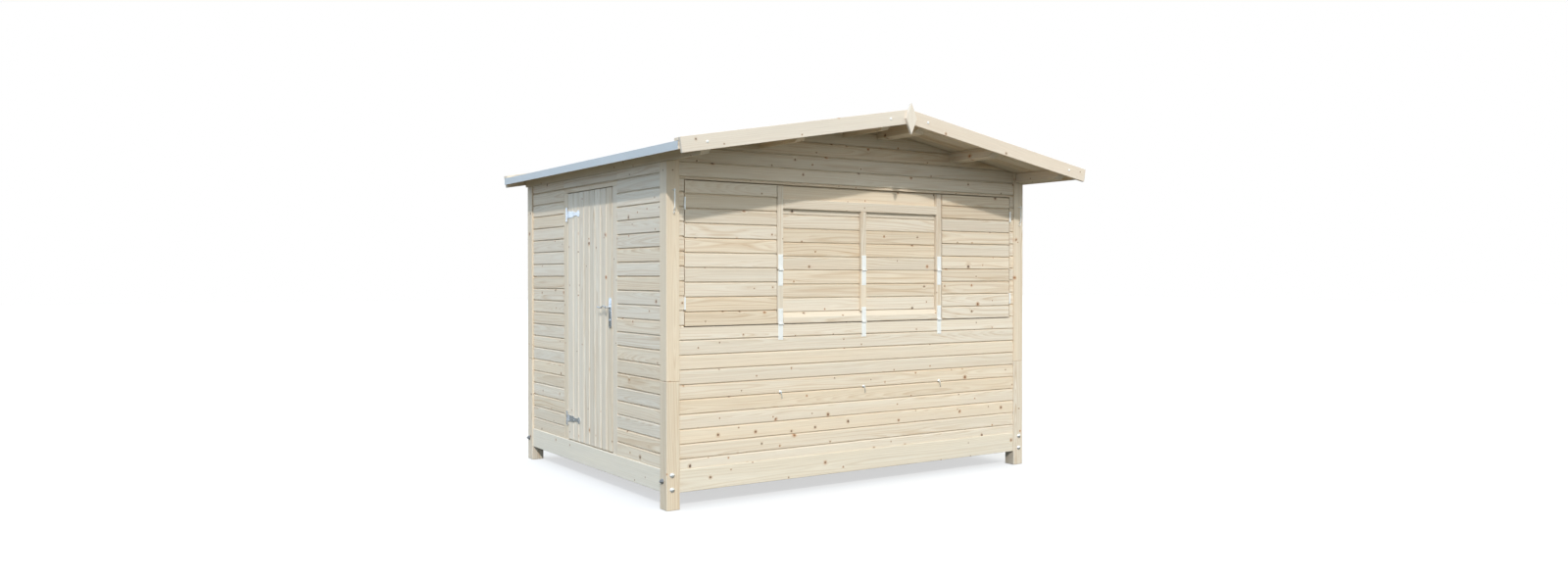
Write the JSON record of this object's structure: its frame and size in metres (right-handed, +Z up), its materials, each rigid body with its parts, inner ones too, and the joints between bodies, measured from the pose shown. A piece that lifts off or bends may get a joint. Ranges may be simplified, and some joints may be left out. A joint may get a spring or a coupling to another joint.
{
  "type": "wooden market hut",
  "caption": "Timber market stall hut with horizontal board walls, a side door, a serving hatch with hinged shutters and a folding counter, and a shallow gable roof.",
  "frame": {"origin": "on the ground, under the centre of the roof's outline", "axes": "+X along the front to the right as seen from the front, +Y from the front to the back, +Z up"},
  "size_m": [3.538, 3.088, 2.6801],
  "materials": {
    "spruce": "planed, untreated",
    "floor": "planed, untreated",
    "zinc": "zinc plated",
    "handle": "satin",
    "edging": "galvanised sheet",
    "felt": "mineral roofing felt"
  },
  "bodies": {
    "hut": {"front_left_post": "spruce", "front_right_post": "spruce", "rear_left_post": "spruce", "rear_right_post": "spruce", "front_sill": "spruce", "rear_sill": "spruce", "left_sill": "spruce", "right_sill": "spruce", "floor_joists": "spruce", "floor_boards": "floor", "front_wall": "spruce", "front_wall_strips": "spruce", "front_gable": "spruce", "hatch_studs": "spruce", "left_wall_front": "spruce", "left_wall_rear": "spruce", "left_wall_head": "spruce", "right_wall": "spruce", "rear_wall": "spruce", "door_jambs": "spruce", "hinge_plates": "zinc", "counter_hooks": "zinc", "cabin_hooks": "zinc", "ridge_purlins": "spruce", "mid_purlins": "spruce", "eave_purlins": "spruce", "left_roof_boards": "spruce", "right_roof_boards": "spruce", "front_bargeboards": "spruce", "rear_bargeboards": "spruce", "finials": "spruce", "eave_laths": "spruce", "eave_edgings": "edging", "roof_felt": "felt", "roof_edge_battens": "felt"},
    "door": {"door_leaf": "spruce", "door_straps": "zinc", "door_handle": "handle"},
    "left_shutter": {"left_shutter": "spruce", "left_shutter_hinges": "zinc"},
    "right_shutter": {"right_shutter": "spruce", "right_shutter_hinges": "zinc"},
    "counter_flap": {"counter_flap": "spruce", "counter_flap_hinges": "zinc"},
    "counter_brace": {"counter_brace": "spruce", "counter_brace_hinges": "zinc"}
  },
  "joints": [
    {"name": "door_swing", "type": "hinge", "parent": "hut", "child": "door", "pos_m": [-1.596, 0.6065, 1.2], "axis": [0, 0, -1], "range_deg": [0, 165]},
    {"name": "left_shutter_swing", "type": "hinge", "parent": "hut", "child": "left_shutter", "pos_m": [-1.4625, -1.0245, 1.65], "axis": [0, 0, -1], "range_deg": [0, 120]},
    {"name": "right_shutter_swing", "type": "hinge", "parent": "hut", "child": "right_shutter", "pos_m": [1.4625, -1.0245, 1.65], "axis": [0, 0, 1], "range_deg": [0, 120]},
    {"name": "counter_flap_fold", "type": "hinge", "parent": "hut", "child": "counter_flap", "pos_m": [0, -1.0245, 1.177], "axis": [1, 0, 0], "range_deg": [0, 90]},
    {"name": "counter_brace_fold", "type": "hinge", "parent": "counter_flap", "child": "counter_brace", "pos_m": [0, -1.0245, 1.547], "axis": [1, 0, 0], "range_deg": [0, 128.6]}
  ],
  "couplings": [
    {"joint": "counter_brace_fold", "follows": "counter_flap_fold", "ratio": 1.4288}
  ]
}
